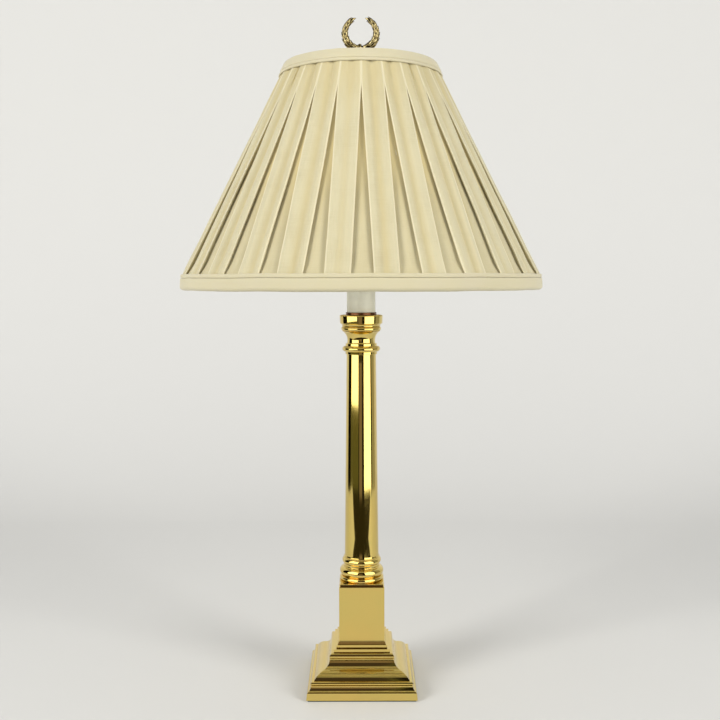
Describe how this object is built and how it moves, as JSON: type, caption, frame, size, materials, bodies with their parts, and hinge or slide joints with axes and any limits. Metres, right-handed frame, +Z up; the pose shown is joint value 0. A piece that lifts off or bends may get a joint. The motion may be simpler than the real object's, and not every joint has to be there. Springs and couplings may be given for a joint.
{
  "type": "table lamp with shade",
  "caption": "Brass column table lamp on a stepped square base, with a candle sleeve, a harp, a pleated cream cloth empire shade and a wreath finial.",
  "frame": {"origin": "centre of the footprint, on the table under the felt", "axes": "+Z up along the lamp pipe, -Y is the front with the switch key, +Y is the cord side, +X to the lamp's left-hand side seen from behind"},
  "size_m": [0.3969, 0.397, 0.7417],
  "materials": {
    "felt": "matte wool felt",
    "brass_polished": "polished and lacquered",
    "brass_antique": "cast, darkened in the recesses",
    "iron": "bare sand-cast",
    "bushing": "matte moulded",
    "sleeve_white": "smooth off-white fibre",
    "zinc_steel": "zinc plated",
    "cardboard_liner": "fibreboard",
    "phenolic": "dark moulded",
    "bulb_glass": "frosted",
    "bulb_metal": "rolled thin sheet",
    "cloth_cream": "woven silky cream cloth",
    "lining_white": "smooth off-white lining",
    "frame_wire": "white painted wire"
  },
  "bodies": {
    "stand": {"felt_pad": "felt", "base_plinth": "brass_polished", "base_weight": "iron", "cord_bushing": "bushing", "pedestal_block": "brass_polished", "cap_plate": "brass_polished", "column_base": "brass_polished", "column_shaft": "brass_polished", "capital": "brass_polished", "candle_cup": "brass_polished", "sleeve_collar": "brass_polished", "candle_sleeve": "sleeve_white", "sleeve_cap": "brass_polished", "threaded_rod": "zinc_steel", "rod_nuts": "zinc_steel", "rod_washers": "zinc_steel", "harp_saddle": "brass_polished", "socket_cap": "brass_polished", "socket_shell": "brass_polished", "socket_insulator": "cardboard_liner", "socket_body": "phenolic", "screw_shell": "brass_polished", "centre_contact": "brass_polished", "terminal_screws": "zinc_steel"},
    "switch": {"switch_stem": "brass_polished", "switch_knob": "phenolic"},
    "bulb": {"bulb_glass": "bulb_glass", "bulb_cap": "bulb_metal", "bulb_insulator": "phenolic", "bulb_contact": "bulb_metal", "bulb_filament": "bulb_metal"},
    "harp": {"harp_wire": "brass_polished", "harp_stud": "brass_polished"},
    "ferrule_left": {"ferrule_left": "brass_polished"},
    "ferrule_right": {"ferrule_right": "brass_polished"},
    "shade": {"shade_cover": "cloth_cream", "shade_lining": "lining_white", "top_ring": "frame_wire", "bottom_ring": "frame_wire", "ribs": "frame_wire", "spider_arms": "frame_wire", "fitter_washer": "brass_polished", "top_trim": "cloth_cream", "top_piping": "cloth_cream", "bottom_trim": "cloth_cream", "bottom_piping": "cloth_cream"},
    "finial": {"finial_base": "brass_polished", "finial_wreath": "brass_antique", "finial_ribbon": "brass_antique"}
  },
  "joints": [
    {"name": "switch_turn", "type": "hinge", "parent": "stand", "child": "switch", "pos_m": [0, -0.02, 0.494], "axis": [0, -1, 0], "continuous": true},
    {"name": "bulb_unscrew", "type": "hinge", "parent": "stand", "child": "bulb", "pos_m": [0, 0, 0.52], "axis": [0, 0, 1], "range_deg": [0, 1080]},
    {"name": "harp_pull", "type": "slide", "parent": "stand", "child": "harp", "axis": [0, 0, 1], "range_m": [0, 0.02]},
    {"name": "ferrule_left_slide", "type": "slide", "parent": "harp", "child": "ferrule_left", "axis": [0, 0, 1], "range_m": [0, 0.011]},
    {"name": "ferrule_right_slide", "type": "slide", "parent": "harp", "child": "ferrule_right", "axis": [0, 0, 1], "range_m": [0, 0.011]},
    {"name": "shade_lift", "type": "slide", "parent": "harp", "child": "shade", "axis": [0, 0, 1], "range_m": [0, 0.27]},
    {"name": "finial_unscrew", "type": "hinge", "parent": "shade", "child": "finial", "pos_m": [0, 0, 0.7], "axis": [0, 0, 1], "continuous": true}
  ]
}
